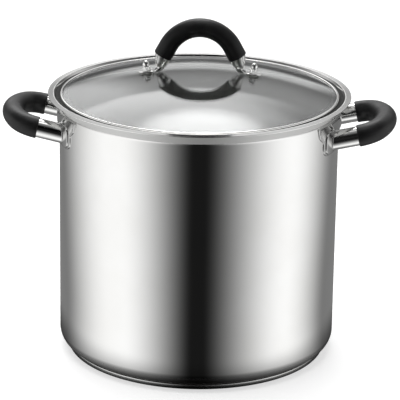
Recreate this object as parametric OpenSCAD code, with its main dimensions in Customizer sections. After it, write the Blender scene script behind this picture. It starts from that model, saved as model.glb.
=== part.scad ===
// Water bath canner: a tall steel pot with a glass lid and a folding jar rack.
// The pot stands on z = 0 with its axis on Z, and its side handles point along X.

/* [Pot] */
// Inside diameter of the pot
pot_inside_d = 300; // [260:1:340]
// Height from the surface it stands on to the top of the lip
pot_h = 288; // [220:1:340]
// Thickness of the steel wall and floor
wall_t = 1; // [0.6:0.1:1.6]
// Outside radius of the corner between wall and floor
corner_r = 15; // [9:0.5:24]
// Lean of the flared rim away from the wall, in degrees
flare_angle = 42; // [34:1:50]
// Length of the straight part of the flare
flare_len = 12.9; // [11:0.1:16]
// Outside radius of the bend at the foot of the flare
flare_bend_r = 3; // [1.5:0.1:4]
// Thinning of each face of the sheet where it is drawn out into the flare
flare_thin = 0.04; // [0.02:0.01:0.1]
// Radius of the rolled lip
lip_r = 2.2; // [1.6:0.1:2.8]
// How far the lip stands proud of the inner face of the flare
lip_proud = 0.2; // [0.1:0.05:0.4]

/* [Base] */
// Height of the thick base under the floor
base_h = 6; // [4.5:0.1:9]
// Step from the wall in to the base cap
base_inset = 9.3; // [6:0.1:14]
// Thickness of the base cap
cap_t = 0.8; // [0.5:0.1:1.2]
// Radius of the lower edge of the base cap
cap_edge_r = 3.4; // [2:0.1:4]

/* [Side handles] */
// Distance between the axes of the two legs
leg_spacing = 89.5; // [80:0.5:110]
// Outside diameter of a leg
leg_d = 20.8; // [16:0.1:22]
// Wall of a leg
leg_wall = 1; // [0.6:0.1:1.6]
// Width of the rolled seam along the top of a leg
leg_seam_w = 0.7; // [0.4:0.1:1.2]
// Distance of the grip ends from the pot wall, along the legs
leg_len = 20; // [16:0.5:26]
// Upward tilt of the handle, in degrees
handle_tilt = 12.7; // [6:0.1:18]
// Depth of the leg axes below the top of the lip, at the wall
handle_drop = 35.5; // [33:0.1:45]
// Diameter of the grip
grip_d = 23.4; // [18:0.1:25]
// Centre-line radius of the bend next to each leg
grip_bend_r = 25; // [16:0.5:32]
// Angle turned by that bend, in degrees
grip_bend_turn = 60; // [50:1:70]
// Straight stretch of the grip before its bend
grip_lead = 1.4; // [1.2:0.1:3]
// Bevel round the ends of all grips
grip_bevel = 0.8; // [0.3:0.1:1]
// Diameter of the steel rod inside the grip
core_d = 8; // [6:0.5:10]

/* [Brackets] */
// Thickness of the bracket plate
plate_t = 1.2; // [0.8:0.1:2]
// Gap between the bracket and the foot of the flare
plate_gap = 1.5; // [0.5:0.1:4]
// Half width of the bracket along its top edge
plate_half_w = 82; // [78:0.5:90]
// Half width of the bracket at the shoulder of its ear
shoulder_half_w = 79; // [76:0.5:84]
// Depth of that shoulder below the top edge
shoulder_drop = 11; // [6:0.5:12]
// Depth of the waist below the top edge, where an ear narrows to its tip
waist_drop = 18; // [14:0.5:22]
// Radius of the rounded tip of an ear
tip_r = 10.5; // [8:0.5:12]
// Step of the tip outwards from the leg axis
tip_step = 16; // [12:0.5:18]
// Depth of the bracket from its top edge to its tips
plate_h = 34.5; // [32:0.5:40]
// Depth of the bracket in the middle, between the ears
bridge_h = 18; // [14:0.5:24]
// Half width of the raised panel along its top edge
panel_half_w = 62; // [56:0.5:68]
// Depth of the raised panel
panel_h = 15; // [12:0.5:20]
// Rise of the panel and of the hubs above the plate
panel_rise = 1.5; // [0.8:0.1:2.5]
// Width of the hub above and below the root of a leg
hub_w = 2; // [1:0.1:3]
// Step from the outer edge of an ear in to its hub
hub_inset = 3; // [1.5:0.1:5]
// Corner radius of a hub
hub_corner_r = 9; // [6:0.1:11]

/* [Lid] */
// How far the lid band reaches past the inside of the pot
band_overlap = 3.5; // [2.5:0.1:5]
// Height of the rim of the lid band
band_h = 6.4; // [5.4:0.1:8]
// Width of the rim of the lid band
band_w = 2.8; // [2.4:0.1:3.4]
// Radius of the edges of that rim
band_edge_r = 1.3; // [0.8:0.1:1.3]
// How far the folded flanges of the band reach in over the glass
band_reach = 7; // [5:0.1:10]
// Thickness of those flanges
flange_t = 0.7; // [0.5:0.1:1]
// Depth of the edge of the glass below the top of the band
glass_sink = 1.5; // [1.2:0.1:1.8]
// Thickness of the glass
glass_t = 4; // [3:0.1:5]
// Radius of the dome of the glass
glass_dome_r = 440; // [360:5:560]

/* [Lid handle] */
// Distance between the two screws of the handle
screw_spacing = 114; // [104:1:124]
// Radius of the arch at the centre of the grip
arch_r = 38.7; // [34:0.1:44]
// Angle turned by the arch on each side, in degrees
arch_turn = 61.5; // [55:0.5:68]
// Straight stretch of the grip under the arch
arch_straight = 13.2; // [10:0.1:16]
// Height of the arch above the top of the glass
arch_rise = 47.3; // [44:0.1:56]
// Diameter of the lid grip
lid_grip_d = 20.4; // [18:0.1:23]
// Diameter of the bar inside the lid grip
lid_bar_d = 10; // [7:0.5:12]
// Diameter of a leg where it leaves the grip
lid_leg_top_d = 18; // [14:0.1:19]
// Diameter of a leg at its foot
lid_leg_foot_d = 10.4; // [9:0.1:12]
// Distance of a leg's foot from the axis of the lid
lid_foot_x = 43.3; // [42:0.1:45]
// Thickness of the flat feet
tab_t = 1.5; // [1:0.1:2]
// Width of the flat feet
tab_w = 12.6; // [11:0.1:15]
// Step from the screw to the middle of the round end of a foot
tab_end_step = 3; // [1:0.1:5]

/* [Lid fasteners] */
// Thread diameter of the screws
screw_d = 5; // [4:0.1:6]
// Diameter of the screw heads
screw_head_d = 9; // [8:0.1:11]
// Height of the screw heads
screw_head_h = 3.2; // [2:0.1:4]
// Width of the cap nuts across their flats
nut_flats = 8.6; // [7.4:0.1:10]
// Height of the six-sided part of a cap nut
nut_hex_h = 4.5; // [3.5:0.1:5.5]
// Height of a whole cap nut
nut_h = 10.8; // [9.5:0.1:13]
// Thickness of the soft pads on both faces of the glass
pad_t = 1.2; // [0.8:0.1:2]
// Diameter of the soft pads
pad_d = 12.6; // [11:0.1:15]
// Wall of the soft sleeve in each hole of the glass
sleeve_wall = 1; // [0.6:0.1:1.5]
// Thickness of the steel washers under the glass
washer_t = 1; // [0.6:0.1:1.6]
// Diameter of the steel washers
washer_d = 12; // [10.5:0.1:14]

/* [Rack] */
// Gap between the rack and the pot wall
rack_wall_gap = 7.5; // [4:0.5:14]
// Height of the middle of the rack ring above the pot floor
rack_h = 18; // [16:0.5:26]
// Wire of the rack ring and of its rails
ring_wire_d = 5; // [4:0.1:6]
// Wire of the cross bars
bar_wire_d = 3.6; // [2.6:0.1:4]
// Pitch of the cross bars, rounded to fill each stretch of the rack evenly
bar_pitch = 20; // [18:0.5:24]
// Distance of each rail from the middle of the rack
rail_x = 70; // [50:1:90]
// Distance of the feet from the middle of the rails
foot_y = 85; // [60:1:95]
// Diameter of the rack feet
foot_d = 7; // [6:0.1:9]
// Depth to which crossing wires are pressed together in welding
weld_sink = 0.3; // [0.1:0.05:0.5]

/* [Rack handles] */
// Wire of the folding handles
bail_wire_d = 3.6; // [3:0.1:4]
// Half width of a handle, between the middles of its arms
bail_half_w = 50; // [48:0.5:52]
// Height of a handle above its hinge
bail_h = 64; // [50:1:80]
// Corner radius of a handle
bail_corner_r = 14; // [8:0.5:20]
// Outward lean of an upright handle, in degrees
bail_lean = 5; // [2:0.5:7]
// Radius of a hinge eye, to the middle of its wire
eye_r = 5.4; // [5.2:0.1:6.5]

/* [Clearances] */
// Gap between the lid and its seat in the flare
lid_gap = 0.3; // [0.2:0.05:0.6]
// Gap between the rack feet and the pot floor
rack_gap = 0.3; // [0.1:0.05:0.6]
// Gap between pieces that are fitted into one another
fit_gap = 0.1; // [0.05:0.01:0.2]

/* [Hidden] */
$fn = 96;
dome_fn = 360;
eps = 0.01;
big = 1000;

pot_r = pot_inside_d / 2;
wall_r = pot_r + wall_t;
corner_x = wall_r - corner_r;
corner_z = base_h + corner_r;
floor_z = base_h + wall_t;

// The flare turns round this centre, and its top is the top of the lip
flare_x = wall_r + flare_bend_r;
flare_in_r = flare_bend_r + wall_t;
flare_face = flare_in_r - flare_thin;
lip_side = lip_r - flare_face - lip_proud;
lip_rise = flare_len * cos(flare_angle) - lip_side * sin(flare_angle) + lip_r;
flare_z = pot_h - lip_rise;

cap_r = wall_r - base_inset;

// Side handles lie in a tilted plane, with u along the legs and v across them
handle_z = pot_h - handle_drop;
leg_v = leg_spacing / 2;
leg_back = wall_r / 4;
bend_u = leg_len + grip_lead;
end_r = grip_bend_r + (leg_v - grip_bend_r) / cos(grip_bend_turn);
end_u = bend_u + (grip_bend_r - end_r) * sin(grip_bend_turn);

plate_r = wall_r + plate_t;
plate_top = flare_z - plate_gap;
tip_y = leg_v + tip_step;
tip_z = plate_top - plate_h + tip_r;
panel_foot_z = plate_top - panel_h;

// The rim of the lid band touches the flare at its lower edge, less the lid gap
band_r = pot_r + band_overlap;
seat_x = band_r - band_edge_r;
seat_off = flare_face + band_edge_r + lid_gap;
seat_z = flare_z + (seat_off + cos(flare_angle) * (seat_x - flare_x)) / sin(flare_angle);
band_z = seat_z - band_edge_r;
glass_r = band_r - flange_t - fit_gap;
dome_z = band_z + band_h - glass_sink - sqrt(glass_dome_r * glass_dome_r - glass_r * glass_r);
glass_top = dome_z + glass_dome_r;

// Lifts run along the screws from the centre of the dome; the lower pads touch the glass at their edge
screw_x = screw_spacing / 2;
screw_lean = asin(screw_x / glass_dome_r);
tab_lift = glass_dome_r + pad_t;
under_r = glass_dome_r - glass_t;
under_lift = sqrt(under_r * under_r - pad_d * pad_d / 4);
washer_lift = under_lift - pad_t - washer_t;
hole_r = screw_d / 2 + fit_gap;
sleeve_r = hole_r + sleeve_wall;

arch_z = glass_top + arch_rise - arch_r;
cut_x = arch_r * sin(arch_turn) + arch_straight * cos(arch_turn);
cut_z = arch_z + arch_r * cos(arch_turn) - arch_straight * sin(arch_turn);
lid_foot_z = dome_z + sqrt(pow(tab_lift, 2) - pow(lid_foot_x, 2));
lid_leg_h = norm([lid_foot_x - cut_x, cut_z - lid_foot_z]);
lid_leg_lean = atan2(cut_x - lid_foot_x, cut_z - lid_foot_z);
lid_leg_taper = (lid_leg_top_d - lid_leg_foot_d) / 2 / lid_leg_h;
lid_leg_spare = lid_leg_top_d / 2;

rack_z = floor_z + rack_h;
rack_r = pot_r - rack_wall_gap - ring_wire_d / 2;
rail_half = sqrt(rack_r * rack_r - rail_x * rail_x);
rail_z = rack_z - (bar_wire_d + ring_wire_d) / 2 + weld_sink;
hinge_x = sqrt(rack_r * rack_r - bail_half_w * bail_half_w);

// Bars stand on both sides of each handle arm, and the last ones at the ends of the rails
function spread(a, b) = let(n = round((b - a) / bar_pitch)) [for (i = [0 : n]) a + (b - a) * i / n];
bar_inner_y = bail_half_w - bar_pitch / 2;
bar_outer_y = bail_half_w + bar_pitch / 2;
bar_end_y = rail_half - bar_wire_d / 2;
middle_bars = spread(-bar_inner_y, bar_inner_y);
rear_bars = spread(bar_outer_y, bar_end_y);

STEEL = "gainsboro";
BLACK = [0.09, 0.09, 0.09];
SOFT = [0.75, 0.75, 0.72];

// Shapes that several pieces share

module on_side(side) {
    if (side < 0) mirror([1, 0, 0]) children();
    else children();
}

module both_sides() {
    for (m = [0, 1]) mirror([m, 0, 0]) children();
}

// A flat ring with its outer radius and its width
module band(r, w) {
    difference() {
        circle(r);
        circle(r - w);
    }
}

// A flat rectangle with all four corners rounded
module rounded_box(w, h, r) {
    translate([r, 0]) square([w - 2 * r, h]);
    translate([0, r]) square([w, h - 2 * r]);
    for (x = [r, w - r], z = [r, h - r]) translate([x, z]) circle(r);
}

// Half section of a flat dish with a rounded lower edge
module dish_section(r, h, edge) {
    square([r - edge, h]);
    translate([0, edge]) square([r, h - edge]);
    translate([r - edge, edge]) circle(edge);
}

// Places children in the tilted plane of a side handle
module in_handle_plane() {
    translate([wall_r, 0, handle_z]) rotate([0, -handle_tilt, 0]) children();
}

// Moves children in two steps, a round one and its remainder, so that bends meet exactly
module place(p) {
    coarse = [for (c = p) round(c * 100) / 100];
    translate(coarse) translate(p - coarse) children();
}

// Places children at a point of both leg axes, with z back towards the pot
module at_legs(u) {
    for (v = [-leg_v, leg_v]) at_leg(u, v) children();
}

module at_leg(u, v) {
    in_handle_plane() place([u, v, 0]) rotate([0, -90, 0]) children();
}

// A leg as a round bar, from a point on its axis back through the wall
module leg_rod(u, v, r) {
    at_leg(u, v) cylinder(r = r, h = u + leg_back);
}

// The bends of a side handle, as a round bar
module handle_bend(r) {
    half_turn = 90 - grip_bend_turn;
    in_handle_plane() {
        for (m = [0, 1]) mirror([0, m, 0]) place([bend_u, leg_v - grip_bend_r, 0])
            rotate_extrude(start = half_turn, angle = grip_bend_turn) place([grip_bend_r, 0]) circle(r);
        place([end_u, 0, 0])
            rotate_extrude(start = -half_turn, angle = 2 * half_turn) place([end_r, 0]) circle(r);
    }
}

// A sleeve round the pot, between two radii
module wall_sleeve(inner, outer) {
    difference() {
        cylinder(r = outer, h = pot_h);
        translate([0, 0, -eps]) cylinder(r = inner, h = pot_h + 2 * eps);
    }
}

// A piece of such a sleeve on the side of a handle, with its outline drawn across it
module on_wall(inner, outer) {
    intersection() {
        wall_sleeve(inner, outer);
        rotate([90, 0, 90]) linear_extrude(height = 2 * wall_r) children();
    }
}

// Section of the domed glass, grown on every face by a gap
module glass_section(gap) {
    intersection() {
        translate([0, dome_z]) difference() {
            circle(glass_dome_r + gap, $fn = dome_fn);
            circle(under_r - gap, $fn = dome_fn);
        }
        translate([0, flare_z]) square([glass_r + gap, pot_h]);
    }
}

// Places children on the axis of each lid screw, with z outwards from the dome's centre
module at_screws() {
    both_sides() translate([0, 0, dome_z]) rotate([0, screw_lean, 0]) children();
}

module screw_ring(lift, t, r, hole) {
    at_screws() translate([0, 0, lift]) difference() {
        cylinder(r = r, h = t);
        translate([0, 0, -eps]) cylinder(r = hole, h = t + 2 * eps);
    }
}

// The arch of the lid handle, as a round bar
module arch(r) {
    place([0, 0, arch_z]) rotate([90, 0, 0])
        rotate_extrude(start = 90 - arch_turn, angle = 2 * arch_turn) place([arch_r, 0]) circle(r);
}

// Places children at one end of the arch, with z down along its straight stretch
module at_arch_end() {
    end = arch_r * [sin(arch_turn), 0, cos(arch_turn)];
    place([0, 0, arch_z]) place(end) rotate([0, 90 + arch_turn, 0]) children();
}

// Rod with a bevel round its far end
module bevelled_rod(r, h) {
    cylinder(r = r, h = h - grip_bevel);
    translate([0, 0, h - grip_bevel]) cylinder(r1 = r, r2 = r - grip_bevel, h = grip_bevel);
}

// Pot and base

module pot_section() {
    // The wall is drawn from both ends, in two stretches that overlap
    stretch = (flare_z - corner_z) * 2 / 3;
    translate([0, base_h]) square([corner_x, wall_t]);
    translate([corner_x, corner_z]) {
        intersection() {
            band(corner_r, wall_t);
            translate([0, -2 * corner_r]) square(2 * corner_r);
        }
        translate([corner_r - wall_t, 0]) square([wall_t, stretch]);
    }
    place([flare_x, flare_z]) {
        translate([-flare_in_r, -stretch]) square([wall_t, stretch]);
        intersection() {
            band(flare_in_r, wall_t);
            translate([-2 * flare_in_r, 0]) square(2 * flare_in_r);
            rotate(-flare_angle) translate([-2 * flare_in_r, -2 * flare_in_r]) square(2 * flare_in_r);
        }
        rotate(-flare_angle) {
            translate([-flare_face, 0]) square([wall_t - 2 * flare_thin, flare_len]);
            translate([lip_side, flare_len]) circle(lip_r);
        }
    }
}

module pot_shell() {
    color(STEEL) rotate_extrude($fn = 180) pot_section();
}

module base_core() {
    inner_r = cap_r - cap_t - fit_gap;
    color("silver") translate([0, 0, cap_t]) rotate_extrude($fn = 180)
        dish_section(inner_r, base_h - cap_t, cap_edge_r - cap_t);
}

module base_cap() {
    color(STEEL) rotate_extrude($fn = 180) difference() {
        dish_section(cap_r, base_h, cap_edge_r);
        translate([0, cap_t]) dish_section(cap_r - cap_t, base_h, cap_edge_r - cap_t);
    }
}

// Side handles

module ear_outline() {
    bridge_y = leg_v - tip_r;
    polygon([
        [0, plate_top], [plate_half_w, plate_top], [shoulder_half_w, plate_top - shoulder_drop],
        [tip_y + tip_r, plate_top - waist_drop], [tip_y + tip_r, tip_z],
        [tip_y, tip_z - tip_r], [bridge_y, tip_z - tip_r],
        [bridge_y - tip_r, plate_top - bridge_h], [0, plate_top - bridge_h],
    ]);
    translate([tip_y, tip_z]) circle(tip_r);
}

module panel_outline() {
    polygon([
        [0, plate_top], [panel_half_w, plate_top],
        [leg_v, panel_foot_z], [0, panel_foot_z],
    ]);
}

// The hub that is raised round the root of a leg
module hub_outline() {
    hub_half = leg_d / 2 + hub_w;
    inner_y = leg_v - hub_half;
    outer_y = tip_y + tip_r - hub_inset;
    translate([inner_y, handle_z - hub_half]) rounded_box(outer_y - inner_y, 2 * hub_half, hub_corner_r);
}

module bracket(side) {
    color(STEEL) on_side(side) {
        on_wall(wall_r, plate_r) for (m = [0, 1]) mirror([m, 0]) ear_outline();
        difference() {
            on_wall(plate_r, plate_r + panel_rise) for (m = [0, 1]) mirror([m, 0]) {
                panel_outline();
                hub_outline();
            }
            for (v = [-leg_v, leg_v]) leg_rod(leg_len, v, leg_d / 2 + fit_gap);
        }
    }
}

module handle_leg(side, v) {
    color(STEEL) on_side(side) difference() {
        leg_rod(leg_len, v, leg_d / 2);
        leg_rod(leg_len + eps, v, leg_d / 2 - leg_wall);
        cylinder(r = plate_r, h = pot_h);
        in_handle_plane() translate([-leg_back, v - leg_seam_w / 2, 0])
            cube([leg_back + 2 * leg_len, leg_seam_w, leg_d]);
    }
}

module handle_core(side) {
    color("silver") on_side(side) difference() {
        union() {
            handle_bend(core_d / 2);
            for (v = [-leg_v, leg_v]) leg_rod(bend_u, v, core_d / 2);
        }
        cylinder(r = plate_r, h = pot_h);
    }
}

module grip(side) {
    bore_r = core_d / 2 + fit_gap;
    color(BLACK) on_side(side) difference() {
        union() {
            handle_bend(grip_d / 2);
            at_legs(bend_u) bevelled_rod(grip_d / 2, grip_lead);
        }
        handle_bend(bore_r);
        at_legs(bend_u) cylinder(r = bore_r, h = grip_lead + eps);
    }
}

// Lid

module lid_glass() {
    color("lightcyan", 0.4) difference() {
        rotate_extrude($fn = 180) glass_section(0);
        at_screws() translate([0, 0, glass_dome_r - 2 * glass_t])
            cylinder(r = sleeve_r + fit_gap, h = 3 * glass_t);
    }
}

module lid_band() {
    color(STEEL) rotate_extrude($fn = 180) difference() {
        union() {
            translate([band_r - band_w, band_z]) rounded_box(band_w, band_h, band_edge_r);
            intersection() {
                glass_section(fit_gap + flange_t);
                translate([band_r - band_reach, flare_z]) square([band_reach - band_edge_r, pot_h]);
            }
        }
        glass_section(fit_gap);
    }
}

// A leg of the lid handle: a cone from the cut of the grip down to its flat foot
module lid_leg() {
    difference() {
        translate([lid_foot_x, 0, lid_foot_z]) rotate([0, lid_leg_lean, 0])
            translate([0, 0, -lid_leg_foot_d / 2])
                cylinder(
                    r1 = lid_leg_foot_d / 2 * (1 - lid_leg_taper),
                    r2 = lid_leg_top_d / 2 + lid_leg_taper * lid_leg_spare,
                    h = lid_leg_foot_d / 2 + lid_leg_h + lid_leg_spare
                );
        at_arch_end() translate([-big / 2, -big / 2, arch_straight - big]) cube(big);
        translate([0, 0, dome_z]) rotate([0, screw_lean, 0])
            translate([-big / 2, -big / 2, tab_lift - big]) cube(big);
    }
}

// The flat foot, lying on its pad
module lid_tab() {
    inner_x = lid_foot_x - screw_x;
    translate([0, 0, dome_z]) rotate([0, screw_lean, 0]) translate([0, 0, tab_lift])
        linear_extrude(height = tab_t) difference() {
            union() {
                translate([inner_x, -tab_w / 2]) square([tab_end_step - inner_x, tab_w]);
                for (x = [inner_x, tab_end_step]) translate([x, 0]) circle(d = tab_w);
            }
            circle(hole_r);
        }
}

module lid_handle_bar() {
    color(STEEL) {
        arch(lid_bar_d / 2);
        both_sides() {
            at_arch_end() cylinder(d = lid_bar_d, h = arch_straight);
            lid_leg();
            lid_tab();
        }
    }
}

module lid_grip() {
    bore_r = lid_bar_d / 2 + fit_gap;
    color(BLACK) difference() {
        union() {
            arch(lid_grip_d / 2);
            both_sides() at_arch_end() bevelled_rod(lid_grip_d / 2, arch_straight);
        }
        arch(bore_r);
        both_sides() at_arch_end() cylinder(r = bore_r, h = arch_straight + eps);
    }
}

module lid_screws() {
    color("silver") at_screws() {
        translate([0, 0, washer_lift - screw_head_h]) cylinder(d = screw_head_d, h = screw_head_h);
        translate([0, 0, washer_lift - eps])
            cylinder(d = screw_d, h = tab_lift + tab_t + nut_hex_h - washer_lift);
    }
}

module lid_cap_nuts() {
    dome_d = nut_flats - 2 * fit_gap;
    color(STEEL) at_screws() translate([0, 0, tab_lift + tab_t]) difference() {
        union() {
            cylinder(d = nut_flats / cos(30), h = nut_hex_h, $fn = 6);
            cylinder(d = dome_d, h = nut_h - dome_d / 2);
            translate([0, 0, nut_h - dome_d / 2]) sphere(d = dome_d);
        }
        translate([0, 0, -eps]) cylinder(r = hole_r, h = nut_hex_h + fit_gap);
    }
}

module lid_washers() {
    color("silver") screw_ring(washer_lift, washer_t, washer_d / 2, hole_r);
}

module lid_upper_pads() {
    color(SOFT) screw_ring(glass_dome_r, pad_t, pad_d / 2, hole_r);
}

module lid_lower_pads() {
    color(SOFT) screw_ring(under_lift - pad_t, pad_t, pad_d / 2, hole_r);
}

module lid_sleeves() {
    color(SOFT) screw_ring(under_lift, glass_dome_r - under_lift, sleeve_r, hole_r);
}

// Rack

module ring_wire() {
    translate([0, 0, rack_z]) rotate_extrude($fn = 180) translate([rack_r, 0]) circle(d = ring_wire_d);
}

module rack_ring() {
    color(STEEL) ring_wire();
}

module bar_wires() {
    for (y = concat(-rear_bars, middle_bars, rear_bars)) {
        half = sqrt(rack_r * rack_r - y * y);
        translate([-half, y, rack_z]) rotate([0, 90, 0]) cylinder(d = bar_wire_d, h = 2 * half);
    }
}

module rack_bars() {
    color(STEEL) difference() {
        bar_wires();
        ring_wire();
    }
}

module rail_wires() {
    for (x = [-rail_x, rail_x]) translate([x, rail_half, rail_z]) rotate([90, 0, 0])
        cylinder(d = ring_wire_d, h = 2 * rail_half);
}

module rack_rails() {
    color(STEEL) difference() {
        rail_wires();
        bar_wires();
        ring_wire();
    }
}

module rack_feet() {
    foot_z = floor_z + rack_gap;
    color(STEEL) difference() {
        for (x = [-rail_x, rail_x], y = [-foot_y, foot_y]) translate([x, y, foot_z])
            cylinder(d = foot_d, h = rail_z - foot_z);
        rail_wires();
    }
}

// A folding handle, leaning on its hinge: two eyes, two arms and a top bar
module rack_handle(side) {
    r = bail_wire_d / 2;
    arm_h = bail_h - bail_corner_r;
    color(STEEL) on_side(side) translate([hinge_x, 0, rack_z]) rotate([0, bail_lean, 0]) {
        for (m = [0, 1]) mirror([0, m, 0]) {
            translate([0, bail_half_w, 0]) rotate([90, 0, 0]) rotate_extrude()
                translate([eye_r, 0]) circle(r);
            difference() {
                translate([0, bail_half_w, 0]) cylinder(r = r, h = arm_h);
                translate([0, bail_half_w + 2 * r, 0]) rotate([90, 0, 0]) cylinder(r = eye_r, h = 4 * r);
            }
            translate([0, bail_half_w - bail_corner_r, arm_h]) rotate([90, 0, 90])
                rotate_extrude(angle = 90) translate([bail_corner_r, 0]) circle(r);
        }
        translate([0, bail_half_w - bail_corner_r, bail_h]) rotate([90, 0, 0])
            cylinder(r = r, h = 2 * (bail_half_w - bail_corner_r));
    }
}

pot_shell();
base_core();
base_cap();
bracket(-1);  // left_bracket
handle_leg(-1, -leg_v);  // left_front_leg
handle_leg(-1, leg_v);  // left_rear_leg
handle_core(-1);  // left_handle_core
grip(-1);  // left_grip
bracket(1);  // right_bracket
handle_leg(1, -leg_v);  // right_front_leg
handle_leg(1, leg_v);  // right_rear_leg
handle_core(1);  // right_handle_core
grip(1);  // right_grip
lid_glass();
lid_band();
lid_handle_bar();
lid_grip();
lid_screws();
lid_cap_nuts();
lid_washers();
lid_upper_pads();
lid_lower_pads();
lid_sleeves();
rack_ring();
rack_bars();
rack_rails();
rack_feet();
rack_handle(-1);  // rack_left_handle
rack_handle(1);  // rack_right_handle
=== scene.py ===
import math
import bpy
from mathutils import Matrix, Vector
from mathutils.geometry import delaunay_2d_cdt


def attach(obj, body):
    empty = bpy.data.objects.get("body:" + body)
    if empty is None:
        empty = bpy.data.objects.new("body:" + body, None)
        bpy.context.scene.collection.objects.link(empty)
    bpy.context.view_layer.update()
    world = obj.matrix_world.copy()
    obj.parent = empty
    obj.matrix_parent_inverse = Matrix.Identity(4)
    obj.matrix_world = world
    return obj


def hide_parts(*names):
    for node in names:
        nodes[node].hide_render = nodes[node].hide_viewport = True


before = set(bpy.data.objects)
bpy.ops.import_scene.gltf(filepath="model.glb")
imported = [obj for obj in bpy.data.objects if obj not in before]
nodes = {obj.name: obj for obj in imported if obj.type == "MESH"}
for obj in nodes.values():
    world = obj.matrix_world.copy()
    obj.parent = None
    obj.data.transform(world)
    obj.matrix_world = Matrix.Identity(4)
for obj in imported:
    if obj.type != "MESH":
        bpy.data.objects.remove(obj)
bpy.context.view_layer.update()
scene = bpy.context.scene

MM = 0.001
DEG = math.pi / 180

# Sizes of the canner, in millimetres: R is a radius, Z a height above the ground, T a thickness
POT_R = 150.0
WALL = 1.0
WALL_R = POT_R + WALL
CORNER_R = 15.0
BASE_H = 6.0
POT_H = 288.0

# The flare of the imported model, from which the lid and the brackets take their heights
FLARE = 42 * DEG
FLARE_LEN = 12.9
FLARE_X = 154.0
FLARE_FACE = 3.96
LIP_R = 2.2
LIP_SIDE = LIP_R - FLARE_FACE - 0.2
FLARE_Z = POT_H - FLARE_LEN * math.cos(FLARE) + LIP_SIDE * math.sin(FLARE) - LIP_R

# The rim as it shows: a steep flare and a thin, nearly level ledge
RIM_TILT = 28 * DEG
RIM_SLOPE = math.tan(RIM_TILT)
RIM_Z = 275.2
RIM_OUT_Z = RIM_Z - math.tan(RIM_TILT / 2) * WALL
RIM_R = 163.37
LEDGE_Z = POT_H - 0.05
LEDGE_R = POT_R + (LEDGE_Z - RIM_Z) * RIM_SLOPE
LEDGE_RISE = math.tan(-3 * DEG)
LEDGE_T = 1.0

CAP_R = 141.7
CAP_T = 0.8
CAP_EDGE = 3.4

BAND_R = 153.5
BAND_H = 6.4
BAND_EDGE = 1.3
BAND_REACH = 7.0
SEAT_GAP = 0.3
BAND_SEAT = FLARE_FACE + BAND_EDGE + SEAT_GAP + math.cos(FLARE) * (BAND_R - BAND_EDGE - FLARE_X)
BAND_Z = FLARE_Z + BAND_SEAT / math.sin(FLARE) - BAND_EDGE

DOME_R = 440.0
GLASS_T = 4.0
GLASS_R = BAND_R - 0.8
GLASS_DROP = 1.5
DOME_Z = BAND_Z + BAND_H - GLASS_DROP - math.sqrt(DOME_R ** 2 - GLASS_R ** 2)
GLASS_TOP = DOME_Z + DOME_R
PANE_R = 149.6
BEAD_R = 148.75
SKIRT_R = 150.1
SKIRT_T = 1.6
# Inner radius and thickness of the near-black sheet under the edge of the glass, which is painted shade
SHADE_SHEET_IN_R = 141.0
SHADE_SHEET_T = 0.5

LEG_Y = 44.75
LEG_R = 10.4
HANDLE_DROP = 35.5
HANDLE_Z = POT_H - HANDLE_DROP
HANDLE_TILT = 12.7 * DEG

PLATE_TOP = FLARE_Z - 1.5
PLATE_T = 1.2
PLATE_H = 34.5
PLATE_R = WALL_R + PLATE_T
BRIDGE_H = 18.0
EAR_Y = 82.0
TIP_R = 10.5
TIP_Y = LEG_Y + 16.0
PANEL_Y = 62.0
PANEL_H = 15.0
PANEL_RISE = 1.5
HUB_HALF = LEG_R + 2.0
HUB_Y = TIP_Y + TIP_R - 3.0
HUB_CORNER = 9.0

SCREW_X = 57.0
SCREW_LEAN = math.asin(SCREW_X / DOME_R)
PAD_T = 1.2
TAB_T = 1.5
TAB_LIFT = DOME_R + PAD_T
TAB_END_R = 6.3
FOOT_X = 43.3

ARCH_R = 38.7
ARCH_TURN = 61.5 * DEG
ARCH_TAIL = 13.2
ARCH_RISE = 47.3
ARCH_Z = GLASS_TOP + ARCH_RISE - ARCH_R
BAR_D = 10.0
GRIP_R = 10.2
GRIP_BORE_R = 5.1
GRIP_EDGE = 0.8

NUT_FLATS = 8.6
NUT_HEX_H = 4.5
NUT_H = 10.8
NUT_CAP_R = 4.2


# Shader sums

class Value:
    """One socket of a finish, so that sums on sockets are written as sums."""

    def __init__(self, finish, socket):
        self.finish = finish
        self.socket = socket

    def part(self, name):
        return Value(self.finish, self.socket.node.outputs[name])

    def sum(self, operation, *terms):
        return self.finish.node("Math", {"operation": operation}, dict(enumerate(terms)))

    def __add__(self, other):
        return self.sum("ADD", self, other)

    def __sub__(self, other):
        return self.sum("SUBTRACT", self, other)

    def __rsub__(self, other):
        return self.sum("SUBTRACT", other, self)

    def __mul__(self, other):
        return self.sum("MULTIPLY", self, other)

    def __rtruediv__(self, other):
        return self.sum("DIVIDE", other, self)

    def __abs__(self):
        return self.sum("ABSOLUTE", self)

    __radd__ = __add__
    __rmul__ = __mul__


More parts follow.
